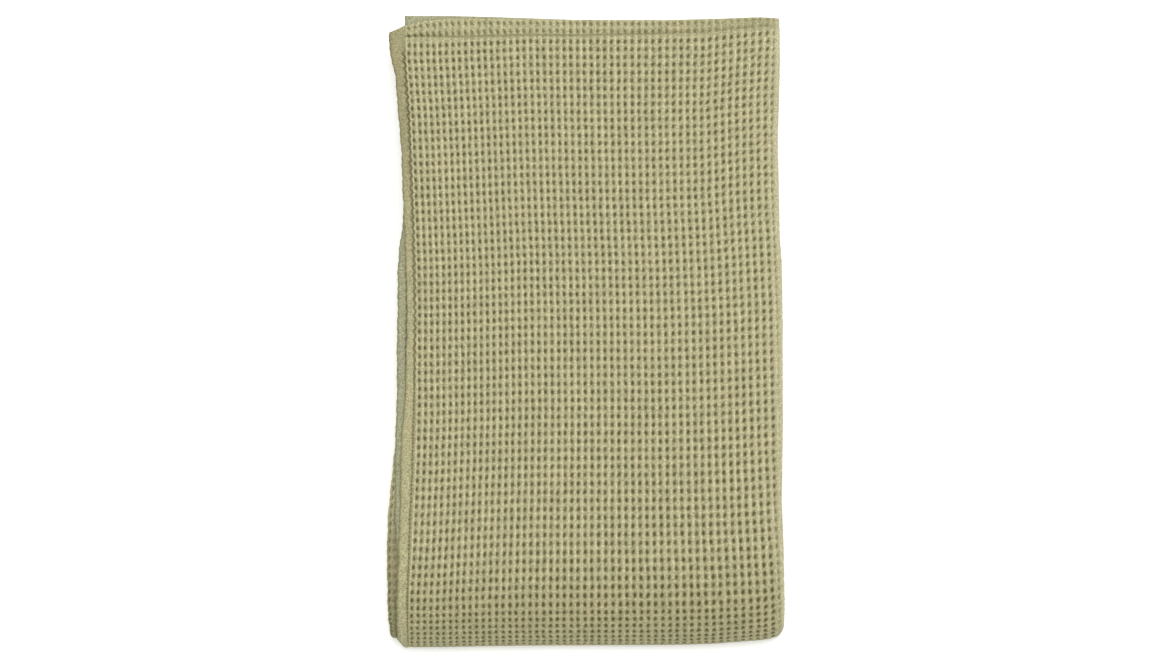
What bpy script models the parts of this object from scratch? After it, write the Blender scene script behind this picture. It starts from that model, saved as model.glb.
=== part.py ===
"""A waffle-weave cotton bedspread, folded in four across and in four along, lying flat with its front up.

Metres, +Z up. The origin is the middle of the underside. +X is the edge with the folds, +Y the edge with the
hems, and the cloth is one piece: its section of four layers is carried along a path of four runs.
"""

import bpy
import numpy as np

# Cloth and stack
LAYER = 0.0030
GAP = 0.0006
PITCH = LAYER + GAP
LAYERS = 4
BUNDLE = LAYERS * PITCH
HALF_BUNDLE = (BUNDLE - GAP) / 2
HEAD_Y = 0.3254
FOOT_Y = -0.3254

# Turns of the cloth
SIDE_STRETCH = 1.15
FOOT_STRETCH = 1.35
HEAD_STRETCH = 1.1
SIDE_STEPS = 4
FOOT_STEPS = 6
HEAD_STEPS = 4
SIDE_ROOM = HALF_BUNDLE * SIDE_STRETCH
FRONT_RUN = (LAYERS - 1) * BUNDLE
UNDER_ROOM = (PITCH + LAYER) / 2 * SIDE_STRETCH
FOOT_ROOM = 2 * BUNDLE * FOOT_STRETCH
HEAD_ROOM = BUNDLE * HEAD_STRETCH

# Hems: the last edge of a layer is thinner, so that it ends softly
EDGE_SHARE = 0.45
EDGE_SOFT = 0.0012

# Where the layers are cut into facets: from the side turn, and from the head
FROM_SIDE = (0.0, 0.020, 0.044, 0.150, 0.270)
FROM_HEAD = (0.050, 0.115, 0.190, 0.245, 0.310, 0.385, 0.440, 0.505, 0.555, 0.585)

# The stack is lower at its edges: how much of its height goes, and over what width
SIDE_FALL, SIDE_REACH = 0.34, 0.050
FOOT_FALL, FOOT_REACH = 0.36, 0.072
HEAD_FALL, HEAD_REACH = 0.10, 0.045
LEFT_FALL, LEFT_REACH = 0.08, 0.045

# Side edges, down from the head: the first layer's hem on the front and in the runs under it, the second layer's
# hem, the turn of the other two layers, and the turn at the right
EDGE_COLUMNS = ("from_head", "top_hem", "lower_hem", "second_hem", "under_turn", "side_turn")
LEFT_AND_RIGHT = (
    (0.000, -0.2023, -0.1842, -0.1858, -0.1786, 0.1995),
    (0.031, -0.2021, -0.1852, -0.1858, -0.1790, 0.1994),
    (0.060, -0.1955, -0.1866, -0.1858, -0.1799, 0.1993),
    (0.137, -0.1896, -0.1896, -0.1862, -0.1816, 0.1972),
    (0.205, -0.1870, -0.1870, -0.1880, -0.1835, 0.1986),
    (0.235, -0.1857, -0.1857, -0.1920, -0.1845, 0.1994),
    (0.261, -0.1845, -0.1845, -0.1934, -0.1856, 0.2012),
    (0.323, -0.1841, -0.1841, -0.1940, -0.1881, 0.2026),
    (0.385, -0.1859, -0.1859, -0.1944, -0.1905, 0.2026),
    (0.426, -0.1894, -0.1894, -0.1955, -0.1940, 0.2024),
    (0.467, -0.1910, -0.1910, -0.1966, -0.1988, 0.2015),
    (0.508, -0.1910, -0.1910, -0.1962, -0.2023, 0.2012),
    (0.553, -0.1932, -0.1932, -0.1939, -0.2040, 0.2032),
    (0.620, -0.1945, -0.1945, -0.1905, -0.2030, 0.2053),
    (0.642, -0.1950, -0.1950, -0.1895, -0.2018, 0.2050),
    (0.651, -0.1880, -0.1880, -0.1880, -0.2000, 0.2040),
)

# Head and foot edges, from left to right: how far each lies inside the full length
END_COLUMNS = ("across", "head_drop", "top_layer_drop", "foot_rise")
HEAD_AND_FOOT = (
    (-0.204, 0.0000, 0.0185, 0.0000),
    (-0.186, 0.0000, 0.0105, 0.0000),
    (-0.170, 0.0004, 0.0062, 0.0000),
    (-0.145, 0.0002, 0.0035, 0.0002),
    (-0.109, 0.0009, 0.0024, 0.0010),
    (-0.047, 0.0042, 0.0000, 0.0018),
    (0.066, 0.0050, 0.0000, 0.0022),
    (0.107, 0.0043, 0.0000, 0.0028),
    (0.133, 0.0036, 0.0000, 0.0038),
    (0.179, 0.0016, 0.0000, 0.0072),
    (0.190, 0.0020, 0.0000, 0.0086),
    (0.205, 0.0026, 0.0000, 0.0135),
)
HEAD_FADE = 0.090
FOOT_FADE = 0.090

# How far the hidden runs lie inside the front one, at the side edges and at the head
RUN_INSET = {"front": 0.0, "back": 0.0020, "third": 0.0045, "fourth": 0.0030}
HEAD_TURN_INSET = 0.0030
LAST_HEM_INSET = 0.0045

SAGE = "B0AC86"


def linear(hex_colour):
    """The linear colour of an sRGB hex value."""
    parts = [int(hex_colour[i : i + 2], 16) / 255 for i in (0, 2, 4)]
    return tuple(c / 12.92 if c <= 0.04045 else ((c + 0.055) / 1.055) ** 2.4 for c in parts) + (1.0,)


def column(table, names, name):
    return np.array([row[names.index(name)] for row in table])


def edge_at(y, name):
    """The x of one side edge of the stack, at the height y of the picture."""
    down = column(LEFT_AND_RIGHT, EDGE_COLUMNS, "from_head")
    return np.interp(HEAD_Y - y, down, column(LEFT_AND_RIGHT, EDGE_COLUMNS, name))


def end_at(x, name):
    across = column(HEAD_AND_FOOT, END_COLUMNS, "across")
    return np.interp(x, across, column(HEAD_AND_FOOT, END_COLUMNS, name))


def fade(share):
    """1 at the edge, easing to 0 where the share reaches 1."""
    t = np.clip(share, 0.0, 1.0)
    return (1 - t) ** 2 * (1 + 2 * t)


def fall(share):
    """1 at the edge, and 0 with no slope where the share reaches 1."""
    return (1 - np.clip(share, 0.0, 1.0)) ** 2


def straight(height, outward, leftwards):
    """The facet lines of one layer, each measured from the side turn."""
    spans = FROM_SIDE if leftwards else FROM_SIDE[::-1]
    return [("side_turn", -span, height, 0.0, outward, 1.0) for span in spans]


def side_turn(radius, start, end, outward):
    """The facet lines between the two ends of a turn at the right, from angle to angle in degrees."""
    angles = np.radians(np.linspace(start, end, SIDE_STEPS + 1)[1:-1])
    return [
        ("side_turn", radius * np.cos(a), radius * np.sin(a), outward * np.cos(a), outward * np.sin(a), 1.0)
        for a in angles
    ]


def under_turn():
    """The turn at the left that joins the two lower layers, with both its ends."""
    radius = PITCH / 2
    angles = np.radians(np.linspace(-90, -270, SIDE_STEPS + 1))
    return [
        ("under_turn", radius * np.cos(a), radius * np.sin(a) - PITCH, np.cos(a), np.sin(a), 1.0)
        for a in angles
    ]


def hem(edge, height, outward):
    """The soft end of a layer, from the edge inwards."""
    return [(edge, 0.0, height, 0.0, outward, EDGE_SHARE), (edge, EDGE_SOFT, height, 0.0, outward, 1.0)]


def section():
    """The cloth seen end on, as one line through its four layers.

    Each row gives the edge that it is measured from, the distance from it, the height, the two parts of the
    direction that one face of the cloth looks in, and the share of the thickness.
    """
    top, second = 1.5 * PITCH, 0.5 * PITCH
    rows = hem("top_hem", top, 1.0)
    rows += straight(top, 1.0, leftwards=False)
    rows += side_turn(top, 90, -90, 1.0)
    rows += straight(-top, -1.0, leftwards=True)
    rows += under_turn()
    rows += straight(-second, 1.0, leftwards=False)
    rows += side_turn(second, -90, 90, -1.0)
    rows += straight(second, -1.0, leftwards=True)
    rows += hem("second_hem", second, -1.0)[::-1]
    return rows


def run(height, normal, towards_foot, inset, ends_at=None):
    """The stations of one run of the section along Y, which ends softly where ends_at gives its hem."""
    lines = [HEAD_Y - down for down in FROM_HEAD]
    if ends_at is not None:
        lines = [ends_at, ends_at - EDGE_SOFT, HEAD_Y - HEAD_TURN_INSET - HEAD_ROOM] + lines
    else:
        lines = [HEAD_Y - HEAD_TURN_INSET - HEAD_ROOM] + lines
    lines.append(FOOT_Y + FOOT_ROOM)
    shares = [1.0] * len(lines)
    if ends_at is not None:
        shares[0] = EDGE_SHARE
    rows = [(y, height, 0.0, normal, 1.0, share, inset) for y, share in zip(lines, shares)]
    return rows if towards_foot else rows[::-1]


def end_turn(centre, radius, side, start, end, steps, stretch, insets, outward=1.0):
    """The stations between two runs, on an arc about the centre that is drawn out along Y by the stretch."""
    angles = np.radians(np.linspace(start, end, steps + 1)[1:-1])
    shares = np.linspace(0, 1, steps + 1)[1:-1]
    y, z = centre
    rows = []
    for a, share in zip(angles, shares):
        inset = insets[0] + (insets[1] - insets[0]) * share
        along = side * np.cos(a)
        rows.append(
            (y + stretch * radius * along, z + radius * np.sin(a), outward * along, outward * np.sin(a), stretch, 1.0, inset)
        )
    return rows


def path():
    """The four runs and the three turns, from the hem on top to the hem just under it."""
    back, third, fourth, front = (HALF_BUNDLE + i * BUNDLE for i in range(LAYERS))
    foot = (FOOT_Y + FOOT_ROOM, (front + back) / 2)
    head = (HEAD_Y - HEAD_TURN_INSET - HEAD_ROOM, (back + third) / 2)
    big, small = (front - back) / 2, BUNDLE / 2
    inset = RUN_INSET
    rows = run(front, 1.0, True, inset["front"], ends_at=HEAD_Y)
    rows += end_turn(foot, big, -1.0, 90, -90, FOOT_STEPS, FOOT_STRETCH, (inset["front"], inset["back"]))
    rows += run(back, -1.0, False, inset["back"])
    rows += end_turn(head, small, 1.0, -90, 90, HEAD_STEPS, HEAD_STRETCH, (inset["back"], inset["third"]))
    rows += run(third, 1.0, True, inset["third"])
    rows += end_turn(foot, small, -1.0, -90, 90, FOOT_STEPS, FOOT_STRETCH, (inset["third"], inset["fourth"]), -1.0)
    rows += run(fourth, -1.0, False, inset["fourth"], ends_at=HEAD_Y - LAST_HEM_INSET)
    return rows


def side_of_cloth(sign):
    """One face of the cloth as points, a row for each station of the path and a column for each section row."""
    rows = section()
    edges = [row[0] for row in rows]
    across, height, look_x, look_n, share = np.array([row[1:] for row in rows]).T
    y, z, normal_y, normal_z, stretch, end_share, inset = np.array(path()).T[:, :, None]
    half = sign * LAYER / 2 * share * end_share
    out = height + half * look_n
    line_y = y + stretch * normal_y * out
    line_z = z + normal_z * out
    turned = np.where(np.abs(look_x) > 0, SIDE_STRETCH, 1.0)
    offset = across * turned + half * look_x * SIDE_STRETCH
    x = np.empty_like(line_y)
    for k, edge in enumerate(edges):
        start = edge_at(line_y[:, k], edge)
        if edge == "side_turn":
            at_turn = across[k] > -FROM_SIDE[1] / 2
            start = start - SIDE_ROOM - inset[:, 0] * at_turn
        elif edge == "under_turn":
            start = start + UNDER_ROOM + inset[:, 0]
        elif edge == "top_hem":
            lower = edge_at(line_y[:, k], "lower_hem")
            start = np.where(inset[:, 0] > 0, lower, start) + inset[:, 0]
        else:
            start = start + inset[:, 0]
        x[:, k] = start + offset[:, k]
    return settle(x, line_y, line_z, height > PITCH)


def settle(x, y, z, first_layer):
    """Moves the head and foot edges to their uneven lines, and lowers the stack towards its edges."""
    is_top_layer = first_layer & (z > FRONT_RUN)
    head = fade((HEAD_Y - y) / HEAD_FADE)
    y = y - head * (end_at(x, "head_drop") + is_top_layer * end_at(x, "top_layer_drop"))
    y = y + fade((y - FOOT_Y) / FOOT_FADE) * end_at(x, "foot_rise")
    left = np.minimum(edge_at(y, "top_hem"), edge_at(y, "under_turn"))
    z = z * (1 - SIDE_FALL * fall((edge_at(y, "side_turn") - x) / SIDE_REACH))
    z = z * (1 - FOOT_FALL * fall((y - FOOT_Y) / FOOT_REACH))
    z = z * (1 - HEAD_FALL * fall((HEAD_Y - y) / HEAD_REACH))
    z = z * (1 - LEFT_FALL * fall((x - left) / LEFT_REACH))
    return np.stack([x, y, z], axis=-1)


def closed_faces(stations, lines):
    """Triangles round the closed section from station to station, and a ladder of them over each end."""
    around = 2 * lines
    i, j = np.meshgrid(np.arange(stations - 1), np.arange(around), indexing="ij")
    a, b = i * around + j, i * around + (j + 1) % around
    c, d = b + around, a + around
    walls = np.stack([a, c, b, a, d, c], axis=-1).reshape(-1, 3)
    k = np.arange(lines - 1)
    ladder = np.stack([k, around - 1 - k, around - 2 - k, k, around - 2 - k, k + 1], axis=-1).reshape(-1, 3)
    last = (stations - 1) * around
    return np.concatenate([walls, ladder[:, ::-1], ladder + last])


def build():
    for obj in list(bpy.data.objects):
        bpy.data.objects.remove(obj, do_unlink=True)
    outer, inner = side_of_cloth(1.0), side_of_cloth(-1.0)
    points = np.concatenate([outer, inner[:, ::-1]], axis=1)
    faces = closed_faces(outer.shape[0], outer.shape[1])
    mesh = bpy.data.meshes.new("bedspread")
    mesh.from_pydata(points.reshape(-1, 3).tolist(), [], faces.tolist())
    mesh.update()
    cotton = bpy.data.materials.new("sage waffle cotton")
    cotton.use_nodes = True
    shader = cotton.node_tree.nodes["Principled BSDF"]
    shader.inputs["Base Color"].default_value = linear(SAGE)
    shader.inputs["Roughness"].default_value = 0.9
    mesh.materials.append(cotton)
    bedspread = bpy.data.objects.new("bedspread", mesh)
    bpy.context.scene.collection.objects.link(bedspread)


build()
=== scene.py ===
"""A folded waffle-weave cotton bedspread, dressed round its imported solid.

Metres, +Z up. The picture's up is +Y and its right is +X. The cloth is one surface: the section of its
four layers, seen end on, is carried along the path of the four runs. Both are worked out cell by cell of
the weave, so a grid line lies on every ridge and in every pit.
"""

import bpy
import numpy as np
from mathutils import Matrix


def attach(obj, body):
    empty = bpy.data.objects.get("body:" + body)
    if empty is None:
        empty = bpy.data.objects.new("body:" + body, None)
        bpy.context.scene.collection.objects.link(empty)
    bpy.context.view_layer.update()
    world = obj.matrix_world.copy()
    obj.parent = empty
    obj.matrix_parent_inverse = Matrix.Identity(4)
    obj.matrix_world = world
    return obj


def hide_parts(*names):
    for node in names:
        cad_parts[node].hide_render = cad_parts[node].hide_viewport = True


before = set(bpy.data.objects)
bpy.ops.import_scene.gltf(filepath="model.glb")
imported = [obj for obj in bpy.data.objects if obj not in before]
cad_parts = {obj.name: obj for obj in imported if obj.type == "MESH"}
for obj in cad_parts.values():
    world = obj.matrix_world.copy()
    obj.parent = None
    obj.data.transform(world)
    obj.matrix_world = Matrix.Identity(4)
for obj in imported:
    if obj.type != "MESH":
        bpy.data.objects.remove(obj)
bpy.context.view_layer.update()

# Cloth and stack, as in the solid
LAYER = 0.0030
GAP = 0.0006
PITCH = LAYER + GAP
LAYERS = 4
BUNDLE = LAYERS * PITCH
HALF_BUNDLE = (BUNDLE - GAP) / 2
FRONT_RUN = (LAYERS - 1) * BUNDLE
HEAD_Y = 0.3254
FOOT_Y = -0.3254
# The middles of the first and second layers, above the section's own middle. The other two lie as far below.
TOP_LAYER = 1.5 * PITCH
SECOND_LAYER = 0.5 * PITCH
# How far the turns are drawn out past a half circle, and the room that each takes
SIDE_STRETCH = 1.15
FOOT_STRETCH = 1.35
HEAD_STRETCH = 1.1
SIDE_ROOM = HALF_BUNDLE * SIDE_STRETCH
UNDER_ROOM = (PITCH + LAYER) / 2 * SIDE_STRETCH
FOOT_ROOM = 2 * BUNDLE * FOOT_STRETCH
HEAD_ROOM = BUNDLE * HEAD_STRETCH
# How much of its height the stack loses at each edge, and over what distance
SIDE_FALL, SIDE_REACH = 0.34, 0.050
FOOT_FALL, FOOT_REACH = 0.36, 0.072
HEAD_FALL, HEAD_REACH = 0.10, 0.045
LEFT_FALL, LEFT_REACH = 0.08, 0.045
# Over what distance the foot edge's own line takes over from the rows'
FOOT_FADE = 0.090
# How far the side edges of each run lie inside the front's, and how far back the lower runs end at the head
RUN_INSET = {"front": 0.0, "back": 0.0020, "third": 0.0045, "fourth": 0.0030}
HEAD_TURN_INSET = 0.0030
LAST_HEM_INSET = 0.0045

# Side edges, down from the head: the first layer's hem on the front and in the runs under it, the second
# layer's hem, the turn of the other two layers, and the turn at the right. The top layer's seam, the last of
# the names, has its places in the next table.
EDGES = ("top_hem", "lower_hem", "second_hem", "under_turn", "side_turn", "top_seam")
LEFT_AND_RIGHT = (
    (0.000, -0.2023, -0.1842, -0.1858, -0.1786, 0.1995),
    (0.031, -0.2021, -0.1852, -0.1858, -0.1790, 0.1994),
    (0.060, -0.1955, -0.1866, -0.1858, -0.1799, 0.1993),
    (0.137, -0.1896, -0.1896, -0.1862, -0.1816, 0.1972),
    (0.205, -0.1870, -0.1870, -0.1880, -0.1835, 0.1986),
    (0.235, -0.1857, -0.1857, -0.1920, -0.1845, 0.1994),
    (0.261, -0.1845, -0.1845, -0.1934, -0.1856, 0.2012),
    (0.323, -0.1841, -0.1841, -0.1940, -0.1881, 0.2026),
    (0.385, -0.1859, -0.1859, -0.1944, -0.1905, 0.2026),
    (0.426, -0.1894, -0.1894, -0.1955, -0.1940, 0.2024),
    (0.467, -0.1910, -0.1910, -0.1966, -0.1988, 0.2015),
    (0.508, -0.1910, -0.1910, -0.1962, -0.2023, 0.2012),
    (0.553, -0.1932, -0.1932, -0.1939, -0.2040, 0.2032),
    (0.620, -0.1945, -0.1945, -0.1905, -0.2030, 0.2053),
    (0.642, -0.1950, -0.1950, -0.1895, -0.2018, 0.2050),
    (0.651, -0.1880, -0.1880, -0.1880, -0.2000, 0.2040),
)
# The seam of the top layer's long hem, and where the columns of the weave lie from it: down from the head,
# the seam's place across, how far the first column lies from it, and how much cloth the 54 columns take
SEAM_X, FIRST_COLUMN, COLUMNS_WIDTH = 1, 2, 3
COLUMN_PLACES = (
    (0.036, -0.1868, 0.0017, 0.3757),
    (0.097, -0.1823, 0.0015, 0.3689),
    (0.190, -0.1784, 0.0015, 0.3657),
    (0.251, -0.1767, 0.0021, 0.3663),
    (0.313, -0.1758, 0.0016, 0.3683),
    (0.406, -0.1768, 0.0026, 0.3701),
    (0.467, -0.1786, 0.0027, 0.3732),
    (0.529, -0.1812, 0.0027, 0.3783),
    (0.591, -0.1834, 0.0015, 0.3854),
    (0.622, -0.1836, 0.0011, 0.3871),
)
# How much wider than their mean the last column is, and how much narrower the first, as a share
COLUMN_GROWTH = 0.085
# Head and foot edges, from left to right: how far each lies inside the full length, and how much further the
# top layer does at the head
END_COLUMNS = ("across", "head_drop", "top_layer_drop", "foot_rise")
HEAD_AND_FOOT = (
    (-0.204, 0.0000, 0.0185, 0.0000),
    (-0.186, 0.0000, 0.0105, 0.0000),
    (-0.170, 0.0004, 0.0062, 0.0000),
    (-0.145, 0.0002, 0.0035, 0.0002),
    (-0.109, 0.0009, 0.0024, 0.0010),
    (-0.047, 0.0042, 0.0000, 0.0018),
    (0.066, 0.0050, 0.0000, 0.0022),
    (0.107, 0.0043, 0.0000, 0.0028),
    (0.133, 0.0036, 0.0000, 0.0038),
    (0.179, 0.0016, 0.0000, 0.0072),
    (0.190, 0.0020, 0.0000, 0.0086),
    (0.205, 0.0026, 0.0000, 0.0135),
)
# The rows of the weave aren't level. Across, left to right, at each distance down from the head: how many
# millimetres a row lies below its even place
ROW_ACROSS = (-0.160, -0.108, -0.057, 0.020, 0.071, 0.122, 0.159, 0.185, 0.202)
ROW_DROP = {
    0.030: (4.8, 2.7, 0.4, 0.6, 0.2, -0.9, -5.2, -8.2, -8.6),
    0.128: (5.0, 2.4, 0.0, 0.6, 0.2, -1.5, -6.3, -8.9, -9.3),
    0.221: (6.3, 3.8, 0.9, 0.8, 0.4, -1.7, -5.8, -7.8, -8.7),
    0.313: (5.4, 3.1, 0.3, -0.3, -0.3, -2.3, -5.2, -7.3, -8.3),
    0.406: (5.4, 2.7, 0.5, -0.5, -0.1, -2.0, -4.7, -6.8, -8.1),
    0.498: (5.4, 1.7, -0.3, -0.8, -1.1, -2.1, -3.7, -5.9, -7.5),
    0.560: (5.7, 1.8, -0.2, -0.9, -1.4, -2.4, -4.0, -5.5, -7.1),
}
# The weave in cells: a cell is about 7 mm across and 9 mm along
CELL_WIDTH = 0.007
CELLS_ACROSS = 54
CELLS_SIDE_TURN = 3
CELLS_PAST_SIDE = 5
CELLS_FRONT = 70.05
CELLS_FOOT_TURN = 16
CELLS_RUN = 68
CELLS_HEAD_TURN = 5
CELLS_INNER_TURN = 4
CELLS_LAST_RUN = 66.95
CELLS_HEM = 2
# The place of the front's first row up the picture, how much its rows widen, and the length of cloth that goes
# round the side turn
ROW_START = 0.30285
ROW_GROWTH = 0.046
SIDE_ARC = 0.0225
# The turn of the lower two layers, and the weave that shows beside it, have cells with numbers of their own
UNDER_CELL, BESIDE_CELL, CELLS_BESIDE = 110, 112, 2
BESIDE_WEAVE = 0.45
# The numbers of the cells that the long hem and its seam take, left of the first column
HEM_CELLS = (-1.5, -1.0)
SEAM_CELLS = np.array([-0.75, -0.5, -0.25])

# Relief of the weave, in cells for its widths and in metres for its depths
PIT_DEPTH = 0.0023
PIT_HALF_WIDTH = 0.235
PIT_HALF_LENGTH = 0.30
PIT_EDGE = 2.0
# The painted highlight on each ridge's right flank, the side lit from the right: its place and half width
FLANK_HIGHLIGHT_PLACE = -0.31
FLANK_HIGHLIGHT_HALF = 0.10
RIDGE_RISE = 0.0008
BAR_SHARE = 0.40
CROSSING_RISE = 0.3
# Each cell differs a little: the range of its pit's depth and painted shade, of its painted flank
# highlight's strength, and how much of another cell's slide, some rows off, moves its pit along
PIT_DEPTHS = (0.93, 1.07)
PIT_TONES = (0.80, 1.04)
FLANK_HIGHLIGHTS = (0.45, 1.20)
SLIDE_ALONG, ROWS_OFF = 0.6, 7
# The painted highlight on ridges and bars beside the flank highlights, and how much of it is lost in a
# pit and on the foot turn
RIDGE_CREST, BAR_CREST, CREST_LOSS = 0.40, 0.25, 0.7
# On the foot turn the pulled cloth has flatter ridges and wider, shallower pits, with more painted shade
# in them where the turn faces away from the light
TURN_RIDGE_LOSS, TURN_PIT_LOSS, TURN_PIT_TONE, TURN_PIT_SIZE = 0.6, 0.4, 0.25, 0.08
TURN_STARTS, TURN_ENDS = 7, 2
# Pits are larger in the lower rows at the right
LOW_PIT_SIZE, LOW_ROW, LOW_ROWS = 0.07, 40, 20
# The pits' lean at the top right and how much of it is gone at the foot, and their lean at the lower left,
# with its place along the front and its reach
RIGHT_LEAN, RIGHT_LEAN_LOSS = 0.45, 0.75
LEFT_LEAN, LEFT_LEAN_PLACE, LEFT_LEAN_REACH = 0.22, 0.85, 0.12

# The long hem, from its soft edge to its seam
LONG_HEM = 0.010
HEM_RISE = 0.0005
HEM_ROLL = 0.0014
BAND_END, BAND_EASE, BAND_END_EASE = 0.0101, 0.002, 0.003
SEAM_DEPTH = 0.0014
SEAM_HALF_WIDTH = 0.0009
SEAM_WAVE = 0.0014
SEAM_WAVE_FADE = (36, 46)
SEAM_STARTS = (0.4, 1.6)
STITCHES = 2
STITCH_GAP = 0.6
# Painted shade in the seam's groove and at the hem's rolled edge, and the even share of the painted
# highlight's tone on the plain parts
GROOVE_TONE, ROLL_TONE, PLAIN_CREST = 0.95, 0.6, 0.12
# How thin the cloth is at its soft edges: the distance in, as a share of the hem, in metres and in rows, with
# the share of the thickness there
THIN_BY_SHARE = ((0.0, 0.5), (0.03, 0.8), (0.12, 1.0))
THIN_BY_METRE = ((0.0, 0.5), (0.0004, 0.8), (0.0013, 1.0))
THIN_BY_ROW = ((0.0, 0.5), (0.04, 0.8), (0.14, 1.0))
RELIEF_EASE = 0.1

# The head hem's line of stitches: at each column, how many rows it lies before the first row
STITCH_LINE = ((0, 0.70), (8, 0.38), (25, 0.27), (42, 0.50), (54, 0.60))
STITCH_HALF = 0.13
STITCH_DEPTH = 0.0011
# Painted shade along the line of stitches
STITCH_TONE = 0.5
# Its dimples: their lean at the left and right, rows to a cell, the row of the random values that they start
# from, their relief, painted shade and painted highlight beside the open weave's, how softly they start and
# end, and how their painted shade fades at the right
HEM_LEAN = (-0.55, 0.25)
HEM_ROWS, HEM_FIRST_ROW = 1.18, 300
HEM_RELIEF, HEM_PIT, HEM_CREST = 0.5, 0.8, 0.6
HEM_STARTS, HEM_ENDS = 0.12, 0.35
HEM_PITS = ((CELLS_ACROSS - 18, 1.0), (CELLS_ACROSS - 4, 0.35))

# Painted shade on the doubled parts, as a share of the painted pit shade's tone: down the rows on the
# long hem and on the lower layers' turn, which lies under the top layers, and across the columns on the
# head hem, where it starts softly
LONG_HEM_SHADE = ((0, 0.27), (12, 0.27), (32, 0.0))
LOWER_TURN_SHADE = ((54, 0.0), (62, 0.38))
HEAD_HEM_SHADE = ((30, 0.0), (CELLS_ACROSS, 0.16))
HEAD_SHADE_STARTS = 0.3
# The rim at the right: how far the face has turned where it starts and over what it grows, the share of the
# pits' painted shade that fades out there, and the painted highlight that makes it pale, down the rows
RIM_STARTS, RIM_GROWS = 0.15, 0.45
RIM_PIT_LOSS = 0.7
RIM_CREST = ((20, 0.75), (60, 0.55))
# The waver of an edge, as three waves: the reach in metres, the radians in a row, and the shift in phases
WAVER = ((0.00022, 2 * np.pi, 1), (0.00025, 1.9, 3), (0.00020, 0.61, 0))
EDGE_PHASE = 2.1

# Where the grid lines cut a cell: six where it shows from near, four where it shows from the side, and three
# along the back, which lies underneath
FINE = np.array([0.0, 0.18, 0.33, 0.5, 0.67, 0.82])
MEDIUM = np.array([0.0, 0.27, 0.5, 0.73])
COARSE = np.array([0.0, 0.33, 0.67])
# Grid lines of the plain parts: on the top hem as shares of it, on the other hems in metres from their edge,
# on the head hem as shares of it, and on the inner layers in metres from the side turn and their left edge
TOP_HEM_LINES = np.array([0.0, 0.03, 0.09, 0.2, 0.35, 0.5, 0.65, 0.77, 0.85, 0.91, 0.96, 1.0])
HEM_LINES = np.array([0.0, 0.0004, 0.0013, 0.003, 0.0055, 0.0075, 0.009, 0.0097, 0.0104, 0.0112, 0.013])
HEAD_HEM_LINES = np.array([
    0.0, 0.02, 0.05, 0.1, 0.18, 0.26, 0.35, 0.45, 0.55, 0.63, 0.70, 0.75, 0.79, 0.82, 0.85, 0.88, 0.92, 0.96,
])
SPANS = np.array([0.0, 0.008, 0.016, 0.025, 0.036, 0.050, 0.110, 0.200, 0.290])
LEFT_SPANS = np.array([0.018, 0.045])
# How many of those spans the woven field covers where it runs back on the underside
PAST_FIELD = 3
TURN_ANGLES = np.array([-60, -20, 20, 60])
INSIDE_TURN_ANGLES = np.array([-255.0, -210, -150, -105])
# How far past its end a stretch is worked out, in rows, so that its normals meet its neighbour's
PAST_END = 0.17

# The stretches of the cloth: name, kind of section, first and last row, grid lines in a row, and how many
# rows of cloth it holds
STRETCHES = (
    ("front_by_the_head", "front", 0, 24, FINE, 26),
    ("front_middle", "front", 24, 47, FINE, 23),
    ("front_by_the_foot", "front", 47, 70, FINE, 23),
    ("foot_turn", "front", 70, 87, FINE, 13),
    ("back", "woven", 87, 154, COARSE, 67),
    ("head_turn", "woven", 154, 160, MEDIUM, 5),
    ("third_run", "plain", 160, 227, MEDIUM, 67),
    ("inner_foot_turn", "plain", 227, 232, MEDIUM, 4),
    ("fourth_run", "plain", 232, 298, MEDIUM, 69),
)

# What the section holds for each point of its outline: the edge that it is counted from and the one that it
# is shared towards, its place between and beside them, its height and where its face looks, its cell, its
# distance from a seam, how woven and how thick it is, and whether it is on the woven field or the wrong side
FIELDS = (
    "start", "end", "share", "across", "height", "look_x", "look_n",
    "cell", "seam", "weave", "thick", "arc", "wrong",
)
# A point is far from any seam and of full thickness unless it says otherwise
DEFAULTS = {"seam": 1.0, "thick": 1.0}
# What the path holds for each row
STATION = ("y", "z", "normal_y", "normal_z", "stretch", "inset", "cell")

# Random values for each cell: its tone, its pit's slide and lean, and its painted flank highlight's strength
CELL_TABLE = (128, 512)
rng = np.random.default_rng(11)
CELL_TONE = rng.random(CELL_TABLE)
CELL_SLIDE = rng.normal(0.0, 0.035, CELL_TABLE)
CELL_LEAN = rng.normal(0.0, 0.10, CELL_TABLE)
CELL_FLANK_HIGHLIGHT = rng.random(CELL_TABLE)


def linear(hex_colour):
    """The linear colour of an sRGB hex value."""
    parts = [int(hex_colour[i : i + 2], 16) / 255 for i in (0, 2, 4)]
    return tuple(c / 12.92 if c <= 0.04045 else ((c + 0.055) / 1.055) ** 2.4 for c in parts) + (1.0,)


def from_table(table, place):
    """The value at a place, read off a short table of (place, value) pairs by straight lines."""
    return np.interp(place, *np.array(table).T)


def between(start, end, share):
    """The value at a share of the way from one to the other, by a straight line."""
    return start + (end - start) * share


def edge_at(y, name):
    """The x of one side edge of the stack at the height y of the picture, read off its table."""
    down = HEAD_Y - y
    if name == "top_seam":
        return column_place(down, SEAM_X)
    table = np.array(LEFT_AND_RIGHT)
    return np.interp(down, table[:, 0], table[:, 1 + EDGES.index(name)])


def column_place(down, which):
    """One column of the seam's table at a distance down from the head, by straight lines."""
    table = np.array(COLUMN_PLACES)
    return np.interp(down, table[:, 0], table[:, which])


def end_at(x, name):
    """How far the head or foot edge lies inside the full length at x, by straight lines."""
    table = np.array(HEAD_AND_FOOT)
    return np.interp(x, table[:, 0], table[:, END_COLUMNS.index(name)])


def fade(share):
    """1 at the edge, easing to 0 where the share reaches 1: (1 - t) squared times (1 + 2t)."""
    t = np.clip(share, 0.0, 1.0)
    return (1 - t) ** 2 * (1 + 2 * t)


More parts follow.
